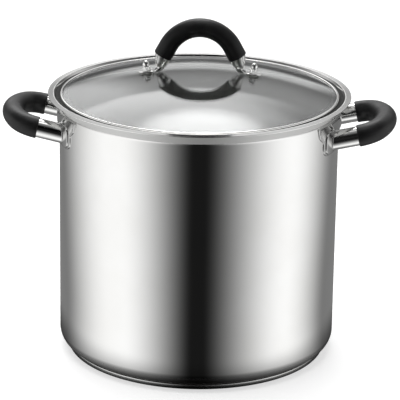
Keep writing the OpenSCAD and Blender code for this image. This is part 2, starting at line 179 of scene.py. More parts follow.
class Finish:
    """The nodes of one finish, of the floor or of the studio."""

    def __init__(self, tree):
        self.tree = tree
        tree.nodes.clear()

    def node(self, kind, settings=None, sockets=None, output=0):
        """Adds a node: its settings come first, then the values or links of its sockets."""
        made = self.tree.nodes.new("ShaderNode" + kind)
        for name, setting in (settings or {}).items():
            setattr(made, name, setting)
        for name, fed in (sockets or {}).items():
            if isinstance(fed, Value):
                self.tree.links.new(fed.socket, made.inputs[name])
            else:
                made.inputs[name].default_value = fed
        return Value(self, made.outputs[output]) if made.outputs else None

    def smooth(self, value, start, end, low=0.0, high=1.0):
        """Goes from low to high as the value goes from start to end."""
        limits = {"Value": value, "From Min": start, "From Max": end, "To Min": low, "To Max": high}
        return self.node("MapRange", {"interpolation_type": "SMOOTHSTEP"}, limits)

    def turn_smooth(self, angle, start, end, low=0.0, high=1.0):
        """The same for an angle, with its limits in degrees."""
        return self.smooth(angle, start * DEG, end * DEG, low, high)

    def mix(self, share, one, other):
        """A colour between two colours."""
        return self.node("Mix", {"data_type": "RGBA"}, {0: share, 6: one, 7: other}, 2)

    def spread(self, vector, by):
        """A vector stretched along its axes."""
        return self.node("VectorMath", {"operation": "MULTIPLY"}, {0: vector, 1: by})

    def length(self, vector):
        return self.node("VectorMath", {"operation": "LENGTH"}, {0: vector}, "Value")

    def noise(self, vector, scale, detail=2.0, roughness=0.5):
        sockets = {"Vector": vector, "Scale": scale, "Detail": detail, "Roughness": roughness}
        return self.node("TexNoise", None, sockets)

    def bump(self, height, distance, strength=1.0):
        return self.node("Bump", None, {"Strength": strength, "Distance": distance, "Height": height})

    def on_object(self):
        """Places on the piece at rest, in metres."""
        return self.node("TexCoord", output="Object")


def new_finish(name):
    material = bpy.data.materials.new(name)
    material.use_nodes = True
    return material, Finish(material.node_tree)


def close_finish(finish, shader):
    finish.node("OutputMaterial", None, {"Surface": shader})


def grey(level):
    return (level, level, level, 1.0)


def tinted(tone, red, green, blue):
    """A tone of grey with each colour scaled a little."""
    return (tone * red, tone * green, tone * blue, 1.0)


# Finishes of the canner

SATIN_COLOUR = (0.78, 0.78, 0.77, 1.0)
INSIDE_ROUGH = 0.34
UNDER_ROUGH = 0.6


def spun_steel(name, tone, smoothness, line_depth, satin=None):
    """Polished steel with the faint level lines that polishing on a lathe leaves.
    Satin gives the share of the surface that is only brushed, from its places."""
    material, f = new_finish(name)
    place = f.on_object()
    lines = f.noise(f.spread(place, (6.0, 6.0, 1400.0)), 1.0, 3.0, 0.6)
    clouds = f.noise(place, 14.0, 3.0, 0.55)
    wear = f.noise(f.spread(place, (40.0, 40.0, 220.0)), 1.0, 4.0, 0.7)
    rough = f.smooth(clouds, 0.35, 0.7, smoothness * 0.85, smoothness * 1.25)
    rough = rough + f.smooth(wear, 0.62, 0.8, 0.0, 0.03)
    pale, dull = tinted(tone, 1.0, 1.0, 0.99), tinted(tone, 0.965, 0.962, 0.945)
    colour = f.mix(f.smooth(clouds, 0.3, 0.75), pale, dull)
    if satin:
        share, brushed_rough = satin(f, place)
        rough = rough * (1 - share) + brushed_rough * share
        colour = f.mix(share, colour, SATIN_COLOUR)
    shader = f.node("BsdfPrincipled", None, {
        "Base Color": colour, "Metallic": 1.0, "Roughness": rough,
        "Normal": f.bump(lines, line_depth * MM, 0.6),
    })
    close_finish(f, shader)
    return material


def satin_inside(f, place):
    """The pot is polished outside and brushed inside, and the underside of its flare is brushed too.
    The limits run inside the thickness of the steel, so that they follow its faces."""
    radius = f.length(f.spread(place, (1.0, 1.0, 0.0)))
    height = f.node("SeparateXYZ", None, {0: place}).part("Z")
    inside = f.smooth(radius, (POT_R + 0.7) * MM, (POT_R + 0.3) * MM)
    inside = inside * f.smooth(height, (BASE_H + 0.3) * MM, (BASE_H + 0.7) * MM)
    outward = radius - height * RIM_SLOPE
    middle = (POT_R + WALL / 2 - (RIM_Z + RIM_OUT_Z) / 2 * RIM_SLOPE) * MM
    flare_end = LEDGE_R + 0.6
    under = f.smooth(outward, middle - 0.1 * MM, middle + 0.1 * MM)
    under = under * f.smooth(radius, (WALL_R + 0.2) * MM, (WALL_R + 0.8) * MM)
    under = under * f.smooth(radius, (flare_end + 0.6) * MM, flare_end * MM)
    return inside + under, INSIDE_ROUGH + (UNDER_ROUGH - INSIDE_ROUGH) * under


def bent_steel(name, tone, smoothness):
    """Buffed steel of the small bent and pressed pieces."""
    material, f = new_finish(name)
    place = f.on_object()
    buff = f.noise(place, 180.0, 4.0, 0.65)
    clouds = f.noise(place, 30.0, 2.0)
    pale, dull = tinted(tone, 1.0, 1.0, 0.99), tinted(tone, 0.95, 0.95, 0.935)
    colour = f.mix(f.smooth(clouds, 0.3, 0.7), pale, dull)
    rough = f.smooth(buff, 0.3, 0.75, smoothness * 0.8, smoothness * 1.3)
    shader = f.node("BsdfPrincipled", None, {
        "Base Color": colour, "Metallic": 1.0, "Roughness": rough,
        "Normal": f.bump(buff, 0.004 * MM, 0.5),
    })
    close_finish(f, shader)
    return material


def moulded_plastic(name):
    """Black heat-resistant plastic with a fine moulded grain."""
    material, f = new_finish(name)
    place = f.on_object()
    grain = f.noise(place, 2600.0, 2.0, 0.6)
    handled = f.smooth(f.noise(place, 70.0, 3.0, 0.6), 0.3, 0.7)
    colour = f.mix(handled, (0.005, 0.005, 0.0052, 1.0), (0.009, 0.009, 0.0093, 1.0))
    shader = f.node("BsdfPrincipled", None, {
        "Base Color": colour, "Roughness": 0.34 + 0.12 * handled, "IOR": 1.5, "Specular IOR Level": 0.32,
        "Normal": f.bump(grain, 0.02 * MM, 0.35),
    })
    close_finish(f, shader)
    return material


def clear_glass(name):
    """Tempered glass, clean but not perfectly even."""
    material, f = new_finish(name)
    place = f.on_object()
    haze = f.noise(place, 9.0, 3.0, 0.6)
    sway = f.noise(place, 16.0, 1.0)
    colour = f.mix(f.smooth(haze, 0.3, 0.7), (0.97, 0.985, 0.98, 1.0), (0.95, 0.97, 0.962, 1.0))
    shader = f.node("BsdfPrincipled", None, {
        "Base Color": colour, "Roughness": f.smooth(haze, 0.35, 0.75, 0.0, 0.02),
        "Transmission Weight": 1.0, "IOR": 1.5,
        "Normal": f.bump(sway, 0.02 * MM, 0.3),
    })
    close_finish(f, shader)
    return material


def soft_rubber(name, tone=0.7, sheen=0.5):
    """Soft seals and pads with a powdery bloom."""
    material, f = new_finish(name)
    bloom = f.noise(f.on_object(), 400.0, 3.0, 0.6)
    even = f.smooth(bloom, 0.3, 0.7)
    shader = f.node("BsdfPrincipled", None, {
        "Base Color": f.mix(even, tinted(tone, 1.0, 1.0, 0.96), tinted(tone, 0.86, 0.86, 0.82)),
        "Roughness": 0.55 + 0.15 * even, "Specular IOR Level": sheen,
        "Normal": f.bump(bloom, 0.03 * MM, 0.4),
    })
    close_finish(f, shader)
    return material


# Ways of making meshes

def add_piece(name, points, faces, finish, body, slot, replaced, sharp_angle=35.0):
    """Makes a smooth closed piece from points in millimetres, and says which CAD nodes it stands for."""
    mesh = bpy.data.meshes.new(name)
    mesh.from_pydata([tuple(c * MM for c in p) for p in points], [], faces)
    mesh.validate()
    mesh.materials.append(finish)
    mesh.shade_smooth()
    mesh.set_sharp_from_angle(angle=sharp_angle * DEG)
    piece = bpy.data.objects.new(name, mesh)
    scene.collection.objects.link(piece)
    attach(piece, body)
    if replaced:
        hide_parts(*replaced)
    return piece


def joined(*shapes):
    """Several shapes as one list of points and one of faces."""
    points, faces = [], []
    for shape_points, shape_faces in shapes:
        faces += [[n + len(points) for n in face] for face in shape_faces]
        points += shape_points
    return points, faces


def flipped(faces):
    return [face[::-1] for face in faces]


def strip(low, high, count):
    """Faces between two rings of points, given by the number of their first points."""
    return [[low + i, low + (i + 1) % count, high + (i + 1) % count, high + i] for i in range(count)]


def arc(x, z, r, start, end, count):
    """Points of an arc in a section, with its angles in degrees."""
    angles = [(start + (end - start) * i / count) * DEG for i in range(count + 1)]
    return [(x + r * math.cos(a), z + r * math.sin(a)) for a in angles]


def line(one, other, count):
    """Points of a straight line in a section."""
    return [tuple(a + (b - a) * i / count for a, b in zip(one, other)) for i in range(count + 1)]


def no_doubles(section):
    """A section without points that lie on the one before."""
    kept = []
    for point in section:
        if not kept or math.dist(point, kept[-1]) > 1e-4:
            kept.append(point)
    return kept


def lathe(section, turns=288):
    """Turns a closed section round the axis; points on the axis stay single."""
    points, rings, faces = [], [], []
    area = sum(a[0] * b[1] - b[0] * a[1] for a, b in zip(section, section[1:] + section[:1]))
    for r, z in section if area > 0 else section[::-1]:
        if r < 1e-6:
            rings.append([len(points)] * turns)
            points.append((0.0, 0.0, z))
        else:
            rings.append(range(len(points), len(points) + turns))
            for i in range(turns):
                a = 2 * math.pi * i / turns
                points.append((r * math.cos(a), r * math.sin(a), z))
    for low, high in zip(rings, rings[1:] + rings[:1]):
        for i in range(turns):
            j = (i + 1) % turns
            face = [low[i], low[j], high[j], high[i]]
            corners = [c for k, c in enumerate(face) if c != face[k - 1]]
            if len(set(corners)) > 2:
                faces.append(corners)
    return points, faces


def rounded_outline(corners, spacing=0.5, stride=1.0):
    """A closed outline in small steps, from corners that each have a radius."""
    places = [Vector(corner[:2]) for corner in corners]
    straight = 1.56
    stations = []
    for k, (_, _, r) in enumerate(corners):
        corner = places[k]
        back = (places[k - 1] - corner).normalized()
        ahead = (places[(k + 1) % len(places)] - corner).normalized()
        half = back.angle(ahead) / 2
        if r <= 0 or half > straight:
            stations.append(corner)
            continue
        middle = corner + (back + ahead).normalized() * (r / math.sin(half))
        first = corner + back * (r / math.tan(half)) - middle
        sweep = first.angle_signed(corner + ahead * (r / math.tan(half)) - middle)
        count = min(18, max(3, round(abs(sweep) * r / spacing)))
        for i in range(count + 1):
            stations.append(middle + Matrix.Rotation(-sweep * i / count, 2) @ first)
    points = []
    for one, other in zip(stations, stations[1:] + stations[:1]):
        count = max(1, round((other - one).length / stride))
        points += [one.lerp(other, i / count) for i in range(count)]
    return points


def loft(rings):
    """Joins closed rings of points, with a cap at both ends."""
    count = len(rings[0])
    last = (len(rings) - 1) * count
    points = [p for ring in rings for p in ring]
    faces = []
    for k in range(len(rings) - 1):
        faces += strip(k * count, (k + 1) * count, count)
    faces.append(list(range(count - 1, -1, -1)))
    faces.append(list(range(last, last + count)))
    return points, faces


def oval(middle, across, through, width, height, square, count=40):
    """A ring round a bar: an oval that turns into a flat strip as it is squared."""
    bend = 2 / square
    ring = []
    for i in range(count):
        a = 2 * math.pi * i / count
        sideways, upward = math.cos(a), math.sin(a)
        u = math.copysign(abs(sideways) ** bend, sideways) * width / 2
        v = math.copysign(abs(upward) ** bend, upward) * height / 2
        ring.append(tuple(middle + across * u + through * v))
    return ring


# Pot and base

def pot_section():
    """The wall turns out into a short flare, which ends in a nearly level ledge. Each corner is a radius,
    a height and a rounding; those with no rounding keep the long faces flat up to their rounded ends."""
    def on_ledge(r, drop=0.0, rounding=0.0):
        return (r, LEDGE_Z + (r - LEDGE_R) * LEDGE_RISE - drop, rounding)

    floor_z = BASE_H + WALL
    under_z = LEDGE_Z - 1.06
    turn_r = WALL_R + (under_z - RIM_OUT_Z) * RIM_SLOPE
    chamfer = 0.12
    inside = [
        (0.0, floor_z, 0.0), (POT_R, floor_z, CORNER_R - WALL), (POT_R, RIM_Z - 2.0, 0.0),
        (POT_R, RIM_Z, 4.0), (POT_R + 2.0 * RIM_SLOPE, RIM_Z + 2.0, 0.0),
        (LEDGE_R - 0.6 * RIM_SLOPE, LEDGE_Z - 0.6, 0.0),
    ]
    ledge = [
        on_ledge(LEDGE_R, 0.0, 0.35), on_ledge(LEDGE_R + 0.6), on_ledge(RIM_R - 0.9),
        on_ledge(RIM_R - chamfer), on_ledge(RIM_R, chamfer), on_ledge(RIM_R, LEDGE_T, 0.3),
        on_ledge(RIM_R - 0.9, LEDGE_T), on_ledge(turn_r + 1.2, LEDGE_T),
    ]
    outside = [
        (turn_r, under_z, 1.0), (turn_r - 1.2 * RIM_SLOPE, under_z - 1.2, 0.0),
        (WALL_R + 2.5 * RIM_SLOPE, RIM_OUT_Z + 2.5, 0.0), (WALL_R, RIM_OUT_Z, 5.0),
        (WALL_R, RIM_OUT_Z - 2.5, 0.0), (WALL_R, BASE_H, CORNER_R), (0.0, BASE_H, 0.0),
    ]
    return no_doubles([tuple(p) for p in rounded_outline(inside + ledge + outside, 0.25, 22.0)])


def base_section():
    """The pressed dish that closes the thick base, with its upper edge against the pot."""
    bend_r = CAP_R - CAP_EDGE
    edge_z = BASE_H - 0.01
    section = line((0.0, 0.0), (bend_r, 0.0), 4)
    section += arc(bend_r, CAP_EDGE, CAP_EDGE, -90, 0, 12)
    section += [(CAP_R, 5.5), (CAP_R - 0.15, 5.85), (CAP_R - 0.4, edge_z), (CAP_R - CAP_T, edge_z)]
    section += arc(bend_r, CAP_EDGE, CAP_EDGE - CAP_T, 0, -90, 8)
    section += [(0.0, CAP_T)]
    return no_doubles(section)


# Lid

def glass_face(r, lift):
    """Height of the upper face of the glass, or of a sheet at some lift above it."""
    return DOME_Z + math.sqrt((DOME_R + lift) ** 2 - r * r)


def glass_under(r, drop):
    """Height of the lower face of the glass, or of a sheet at some drop below it."""
    return DOME_Z + math.sqrt((DOME_R - GLASS_T - drop) ** 2 - r * r)


def pane_section():
    """The domed glass of the lid."""
    radii = [PANE_R * k / 40 for k in range(41)]
    upper = [(r, glass_face(r, 0.0)) for r in reversed(radii)]
    lower = [(r, glass_under(r, 0.0)) for r in radii]
    return upper + lower


def shade_sheet_points():
    """A near-black sheet in two rings, which is painted shade: one under the edge of the glass, where the gap
    beneath the glass is in shade, and one round the band below its bead, where the gap above the ledge is in
    shade. Each corner of the second is a radius, a height and a rounding."""
    radii = [SHADE_SHEET_IN_R + (PANE_R - SHADE_SHEET_IN_R) * k / 8 for k in range(9)]
    upper = [(r, glass_under(r, 0.04)) for r in reversed(radii)]
    lower = [(r, glass_under(r, SHADE_SHEET_T)) for r in radii]
    inner = SKIRT_R - 0.02
    corners = [
        (inner, 286.35, 0.1), (SKIRT_R + 0.45, 286.1, 0.2), (152.5, 285.2, 1.5), (155.3, 285.35, 0.15),
        (154.9, 284.6, 0.2), (152.2, BAND_Z + 0.4, 0.3), (151.8, BAND_Z, 0.2), (inner, BAND_Z, 0.3),
    ]
    skirt = [tuple(p) for p in rounded_outline(corners, 0.2, 2.0)]
    return joined(lathe(upper + lower), lathe(skirt))


def band_section():
    """The rolled rim of the lid: a thin bead over the edge of the glass, folded in below it."""
    half_width, height, lift = 1.45, 1.3, 0.12
    slope = math.asin(BEAD_R / DOME_R)
    middle_z = glass_face(BEAD_R, 0.0)
    section = []
    for i in range(33):
        a = math.pi * (1 - i / 32)
        along = half_width * math.cos(a)
        out = height * math.sin(a) + lift
        section.append((BEAD_R + along * math.cos(slope) + out * math.sin(slope),
                        middle_z - along * math.sin(slope) + out * math.cos(slope)))
    edge = 0.6
    edge_z = BAND_Z + edge
    section += [(SKIRT_R, z) for z in (284.0, 283.0, 282.0)]
    section += arc(SKIRT_R - edge, edge_z, edge, 0, -90, 8)
    section += arc(SKIRT_R - SKIRT_T + edge, edge_z, edge, -90, -180, 8)
    inner = BAND_R - BAND_REACH
    outer = SKIRT_R - SKIRT_T - 0.1
    fold = SHADE_SHEET_T + 0.06
    fold_t = 0.8
    clear_r = PANE_R + 0.1
    steps = [inner + (outer - inner) * k / 6 for k in range(6, -1, -1)]
    section += [(r, glass_under(r, fold + fold_t)) for r in steps]
    section += [(inner - 0.3, glass_under(inner, fold + fold_t / 2))]
    section += [(r, glass_under(r, fold)) for r in (inner, 148.0, clear_r)]
    section += [(r, glass_face(r, 0.06)) for r in (clear_r, 148.5)]
    return no_doubles(section)


def tab_stations(out, up, screw):
    """The flat foot of the lid handle, from its round end beyond the screw towards the leg."""
    stations = []
    for k in range(9):
        a = math.pi / 2 * k / 8
        width = max(0.4, 2 * TAB_END_R * math.sin(a))
        stations.append((3.0 + TAB_END_R * math.cos(a), width))
    stations += [(reach, 2 * TAB_END_R) for reach in (1.0, -2.0, -5.0, -7.0)]
    return [(screw + out * reach + up * TAB_T / 2, up, width, TAB_T, 5.0) for reach, width in stations]


def lid_bar_points():
    """The bar of the lid handle: from one flat foot up its leg, through the grip and down again.
    Each station is a place, the way through the bar, its width and height, and how square it is."""
    cut = Vector((ARCH_R * math.sin(ARCH_TURN) + ARCH_TAIL * math.cos(ARCH_TURN), 0,
                  ARCH_Z + ARCH_R * math.cos(ARCH_TURN) - ARCH_TAIL * math.sin(ARCH_TURN)))
    out = Vector((math.cos(SCREW_LEAN), 0, -math.sin(SCREW_LEAN)))
    up = Vector((math.sin(SCREW_LEAN), 0, math.cos(SCREW_LEAN)))
    across = Vector((0, 1, 0))
    screw = Vector((0, 0, DOME_Z)) + up * TAB_LIFT
    foot = Vector((FOOT_X, 0, DOME_Z + math.sqrt(TAB_LIFT ** 2 - FOOT_X ** 2)))
    stations = tab_stations(out, up, screw)

    # The strip rounds out and turns up into the leg
    leg_way = (cut - foot).normalized()
    low = foot + leg_way * 2.0
    start = screw + out * -8.5 + up * TAB_T / 2
    bend = foot + out * -0.5 + up * 0.3
    risen = low + leg_way * 3.0
    shapes = ((0.12, 12.3, 2.0, 4.2), (0.35, 11.7, 3.6, 3.4), (0.62, 11.1, 6.0, 2.7),
              (0.85, 10.7, 8.6, 2.2), (1.0, 10.6, 10.0, 2.0))
    for t, width, height, square in shapes:
        place = start * (1 - t) ** 2 + bend * (2 * t * (1 - t)) + risen * t ** 2
        way = ((bend - start) * (1 - t) + (risen - bend) * t).normalized()
        stations.append((place, across.cross(way) * -1, width, height, square))

    # The leg widens up to the grip, and a thinner bar runs on through it
    low_d, high_d = 10.4, 18.0
    length = (cut - low).length
    grip_way = Vector((-math.cos(ARCH_TURN), 0, math.sin(ARCH_TURN)))
    for t in (0.3, 0.5, 0.7, 0.85, 1.0, 1.06):
        width = low_d + (high_d - low_d) * t
        way = (leg_way * (1 - t) + grip_way * t).normalized() if t > 0.5 else leg_way
        stations.append((low + leg_way * length * t, across.cross(way) * -1, width, width, 2.0))
    stations.append((cut + grip_way * 2.2, across.cross(grip_way) * -1, BAR_D, BAR_D, 2.0))
    for k in range(13):
        a = ARCH_TURN * (1 - k / 12)
        place = Vector((ARCH_R * math.sin(a), 0, ARCH_Z + ARCH_R * math.cos(a)))
        way = Vector((-math.cos(a), 0, math.sin(a)))
        stations.append((place, across.cross(way) * -1, BAR_D, BAR_D, 2.0))
    right = [oval(place, across, *shape) for place, *shape in stations]
    left = [[(-x, y, z) for x, y, z in ring] for ring in reversed(right[:-1])]
    return loft(right + left)


def on_arch(reach):
    """Place and outward way at a distance along the lid grip from its middle."""
    turn = max(-ARCH_TURN, min(ARCH_TURN, reach / ARCH_R))
    beyond = reach - turn * ARCH_R
    outward = Vector((math.sin(turn), 0, math.cos(turn)))
    along = Vector((math.cos(turn), 0, -math.sin(turn)))
    return Vector((0, 0, ARCH_Z)) + outward * ARCH_R + along * beyond, outward


def lid_grip_points(count=64):
    """The black sleeve on the arch of the lid handle, with rounded ends."""
    bend = ARCH_R * ARCH_TURN
    end = bend + ARCH_TAIL
    half = arc(end - GRIP_EDGE, GRIP_R - GRIP_EDGE, GRIP_EDGE, 0, 90, 6)
    half += [(bend + ARCH_TAIL * k / 6, GRIP_R) for k in range(5, 0, -1)]
    half += [(bend * k / 24, GRIP_R) for k in range(24, 0, -1)]
    outer = half + [(0.0, GRIP_R)] + [(-reach, r) for reach, r in reversed(half)]
    inner = [(bend * k / 24, GRIP_BORE_R) for k in range(-24, 25)]
    sleeve = outer + [(-end, GRIP_BORE_R)] + inner + [(end, GRIP_BORE_R)]
    across = Vector((0, 1, 0))
    points, faces = [], []
    for k, (reach, r) in enumerate(sleeve):
        place, outward = on_arch(reach)
        points += oval(place, across, outward, 2 * r, 2 * r, 2.0, count)
        following = (k + 1) % len(sleeve)
        faces += strip(k * count, following * count, count)
    return points, flipped(faces)


def nut_profile(corner):
    """Radius and height of each ring of a domed nut, in a direction where its hexagon reaches this far."""
    chamfer = (corner - NUT_FLATS / 2) * math.tan(35 * DEG)
    neck = NUT_CAP_R - 0.35
    cap_z = NUT_HEX_H + 1.2
    profile = [
        (corner - 0.25, 0.0), (corner, 0.3), (corner, NUT_HEX_H - 0.15 - chamfer),
        (NUT_FLATS / 2 - 0.05, NUT_HEX_H), (NUT_CAP_R - 0.15, NUT_HEX_H), (neck, NUT_HEX_H + 0.4),
    ]
    for k in range(10):
        a = math.pi / 2 * k / 9
        profile.append((max(neck * math.cos(a), 0.05), cap_z + (NUT_H - cap_z) * math.sin(a)))
    return profile


def place_on_screw(point, side):
    """A point of a nut, moved onto the foot of the lid handle on one side."""
    x, y, z = point
    z += TAB_LIFT + TAB_T
    level, lean = math.cos(SCREW_LEAN), math.sin(SCREW_LEAN)
    return (side * (x * level + z * lean), y, DOME_Z - x * lean + z * level)


def nut_points(count=72):
    """Domed cap nuts: six flats with chamfered corners under a round cap."""
    sixth = math.pi / 3
    columns = []
    for i in range(count):
        a = 2 * math.pi * i / count
        off = (a + sixth / 2) % sixth - sixth / 2
        profile = nut_profile(NUT_FLATS / 2 / math.cos(off))
        columns.append([(r * math.cos(a), r * math.sin(a), z) for r, z in profile])
    rings = list(zip(*columns))
    right = loft([[place_on_screw(p, 1) for p in ring] for ring in rings])
    left = loft([[place_on_screw(p, -1) for p in ring] for ring in rings])
    return joined(right, (left[0], flipped(left[1])))


# Brackets of the side handles

def both_halves(half):
    """All corners of an outline from those of its right half, from the top round to the foot."""
    return half + [(-y, z, r) for y, z, r in reversed(half)]


def inset(outline, by):
    """The same outline moved inwards; it runs clockwise."""
    moved = []
    for k, point in enumerate(outline):
        way = (outline[(k + 1) % len(outline)] - outline[k - 1]).normalized()
        moved.append(point + Vector((way.y, -way.x)) * by)
    return moved


def on_wall(side, r, point):
    """A point of a flat outline, bent round the pot at some radius."""
    return (side * math.sqrt(r * r - point.x ** 2), point.x, point.y)


def inside_loop(y, z, loop):
    crossings = 0
    for one, other in zip(loop, loop[1:] + loop[:1]):
        if (one.y > z) != (other.y > z):
            crossing = one.x + (z - one.y) / (other.y - one.y) * (other.x - one.x)
            crossings += y < crossing
    return crossings % 2 == 1


def slab_grid(loop, across=66, upward=8):
    """Places inside a loop and clear of it, so that a slab can follow the round wall."""
    clear = 2.5 / 3
    reach = max(p.x for p in loop)
    low, high = min(p.y for p in loop), max(p.y for p in loop)
    kept = []
    for i in range(1, across):
        y = reach * (2 * i / across - 1)
        for k in range(upward):
            z = low + (high - low) * (k + 0.5) / upward
            place = Vector((y, z))
            if inside_loop(y, z, loop) and min((place - p).length for p in loop) > clear:
                kept.append(place)
    return kept


def slab_face(points, side, loop, r, first, upper):
    """Fills a loop whose points are numbered from the first; adds its inner points to the list."""
    places, _, fills, origins, _, _ = delaunay_2d_cdt(
        loop + slab_grid(loop), [], [list(range(len(loop)))], 1, 1e-6)
    number = []
    for source, place in zip(origins, places):
        if source and source[0] < len(loop):
            number.append(first + source[0])
        else:
            number.append(len(points))
            points.append(on_wall(side, r, place))
    faces = []
    for fill in fills:
        corners = [number[v] for v in fill]
        a, b, c = (places[v] for v in fill[:3])
        turned = (b - a).cross(c - a) > 0
        faces.append(corners if turned == upper else corners[::-1])
    return faces


def wall_slab(side, outline, low, high, edge):
    """A slab bent round the pot between two radii, with its upper edge rounded off."""
    rings = [(0.0, low), (0.0, high - edge)]
    for k in range(1, 5):
        a = math.pi / 2 * k / 4
        rings.append((edge * (1 - math.cos(a)), high - edge + edge * math.sin(a)))
    count = len(outline)
    last = (len(rings) - 1) * count
    points, faces = [], []
    for by, r in rings:
        points += [on_wall(side, r, p) for p in inset(outline, by)]
    for k in range(len(rings) - 1):
        faces += flipped(strip(k * count, (k + 1) * count, count))
    faces += slab_face(points, side, inset(outline, rings[-1][0]), high, last, True)
    faces += slab_face(points, side, inset(outline, 0.0), low, 0, False)
    return points, faces if side > 0 else flipped(faces)


def weld_bead(side, leg_y, r=0.8, turns=96, sides=12):
    """The polished weld round the root of a leg, where it leaves the hub."""
    level, tilt = math.cos(HANDLE_TILT), math.sin(HANDLE_TILT)
    seat = PLATE_R + PANEL_RISE
    points, faces = [], []
    for i in range(turns):
        a = 2 * math.pi * i / turns
        y, lift = leg_y + LEG_R * math.cos(a), LEG_R * math.sin(a)
        x = math.sqrt(seat * seat - y * y)
        along = (x - WALL_R + lift * tilt) / level
        middle = Vector((x, y, HANDLE_Z + along * tilt + lift * level))
        out = Vector((0.0, math.cos(a), math.sin(a)))
        normal = Vector((x, y, 0.0)).normalized()
        for k in range(sides):
            b = 2 * math.pi * k / sides
            place = middle + out * (r * math.cos(b)) + normal * (r * math.sin(b))
            points.append((side * place.x, place.y, place.z))
        faces += strip(i * sides, (i + 1) % turns * sides, sides)
    return points, flipped(faces) if side > 0 else faces


def bracket_points(side):
    """A pressed bracket: a curved plate with two ears, a raised panel and a hub round each leg."""
    foot = PLATE_TOP - PLATE_H
    tip = TIP_Y + TIP_R
    ear = [
        (EAR_Y, PLATE_TOP, 0.8), (EAR_Y - 3.0, PLATE_TOP - 11.0, 3.0), (tip, PLATE_TOP - BRIDGE_H, 3.0),
        (tip, foot, TIP_R), (LEG_Y - TIP_R, foot, 2.5), (LEG_Y - 2 * TIP_R, PLATE_TOP - BRIDGE_H, 3.0),
    ]
    hub_top, hub_foot = HANDLE_Z + HUB_HALF, HANDLE_Z - HUB_HALF
    hub_in = LEG_Y - HUB_HALF
    slope = (PANEL_Y - LEG_Y) / PANEL_H
    panel = [
        (PANEL_Y, PLATE_TOP, 1.2), (PANEL_Y - slope * (PLATE_TOP - hub_top), hub_top, 1.2),
        (HUB_Y, hub_top, HUB_CORNER), (HUB_Y, hub_foot, HUB_CORNER),
        (hub_in, hub_foot, HUB_CORNER), (hub_in, PLATE_TOP - PANEL_H, 1.2),
    ]
    plate = wall_slab(side, rounded_outline(both_halves(ear)), WALL_R + 0.02, PLATE_R, 0.25)
    panel_top = PLATE_R + PANEL_RISE
    raised = wall_slab(side, rounded_outline(both_halves(panel)), PLATE_R - 0.05, panel_top, 0.35)
    return joined(plate, raised, weld_bead(side, LEG_Y), weld_bead(side, -LEG_Y))


def make_pieces(finishes):
    def make(name, shape, finish, body, slot, replaced, sharp=35.0):
        add_piece(name, *shape, finishes[finish], body, slot, replaced, sharp)

    steel = "polished_steel"
    make("pot_body", lathe(pot_section()), "pot", "pot", steel, ["pot_shell"])
    make("base_dish", lathe(base_section()), "base", "pot", steel, ["base_cap"])
    make("lid_rim", lathe(band_section()), "band", "lid", steel, ["lid_band"])
    make("lid_pane", lathe(pane_section()), "glass", "lid", "lid_glass", ["lid_glass"])
    # A near-black sheet in the gaps round the lid's edge: painted shade
    make("lid_edge_painted_shade", shade_sheet_points(), "seal", "lid", "soft_seal", [])
    for word, side in (("left", -1), ("right", 1)):
        name, node = word + "_pressed_bracket", word + "_bracket"
        make(name, bracket_points(side), "bracket", "pot", steel, [node], 50.0)
    make("lid_handle_legs", lid_bar_points(), "bent", "lid", steel, ["lid_handle_bar"])
    make("lid_grip_sleeve", lid_grip_points(), "plastic", "lid", "black_grip", ["lid_grip"])
    make("lid_domed_nuts", nut_points(), "bent", "lid", steel, ["lid_cap_nuts"], 25.0)


def dress_cad_pieces():
    """Gives every CAD node its finish, and returns the finishes that the new pieces share."""
    steel_pot = spun_steel("pot_steel", 0.84, 0.09, 0.002, satin_inside)
    steel_base = spun_steel("base_steel", 0.8, 0.22, 0.006)
    steel_bent = bent_steel("handle_steel", 0.86, 0.1)
    steel_band = spun_steel("band_steel", 0.84, 0.1, 0.002)
    aluminium = bent_steel("disc_aluminium", 0.75, 0.35)
    turned = bent_steel("turned_steel", 0.7, 0.25)
    wire = bent_steel("plated_wire", 0.78, 0.16)
    plastic = moulded_plastic("grip_plastic")
    glass = clear_glass("lid_glass_clear")
    rubber = soft_rubber("seal_rubber")
    finishes = {
        "pot_shell": steel_pot, "base_cap": steel_base, "base_core": aluminium,
        "lid_band": steel_band, "lid_glass": glass, "lid_screws": turned, "lid_washers": turned,
        "lid_upper_pads": rubber, "lid_lower_pads": rubber, "lid_sleeves": rubber,
    }
    for name, node in nodes.items():
        finish = finishes.get(name)
        if finish is None:
            if name.endswith("grip"):
                finish = plastic
            elif name.startswith("rack"):
                finish = wire
            elif name.endswith("core"):
                finish = turned
            else:
                finish = steel_bent
        node.data.materials.clear()
        node.data.materials.append(finish)
    return {
        "pot": steel_pot, "base": steel_base, "band": steel_band, "bent": steel_bent,
        "plastic": plastic, "glass": glass,
        # The brackets' steel is a darker copy of the handle steel: painted shade that darkens the brackets
        # The near-black rubber sheet round the lid's edge is painted shade in the gaps there
        "bracket": bent_steel("bracket_steel", 0.58, 0.17), "seal": soft_rubber("painted_shade_rubber", 0.012, 0.12),
    }


# Studio

FLOOR_DROP = 0.0002
FLOOR_GREY = 0.5
FLOOR_GLOW = 0.62
SIDE_LEVEL = 1.15
SIDE_TURN = 3 * DEG
FRONT_LEVEL = 0.009
BACK_DIM = 0.82
GLOW_LEVEL = 0.75
PANEL_LEVEL = 2.0
PANEL_FOOT = 0.45
BOX_LEVEL = 3.92
CROWN_LEVEL = 1.6
OVERHEAD_LEVEL = 0.25


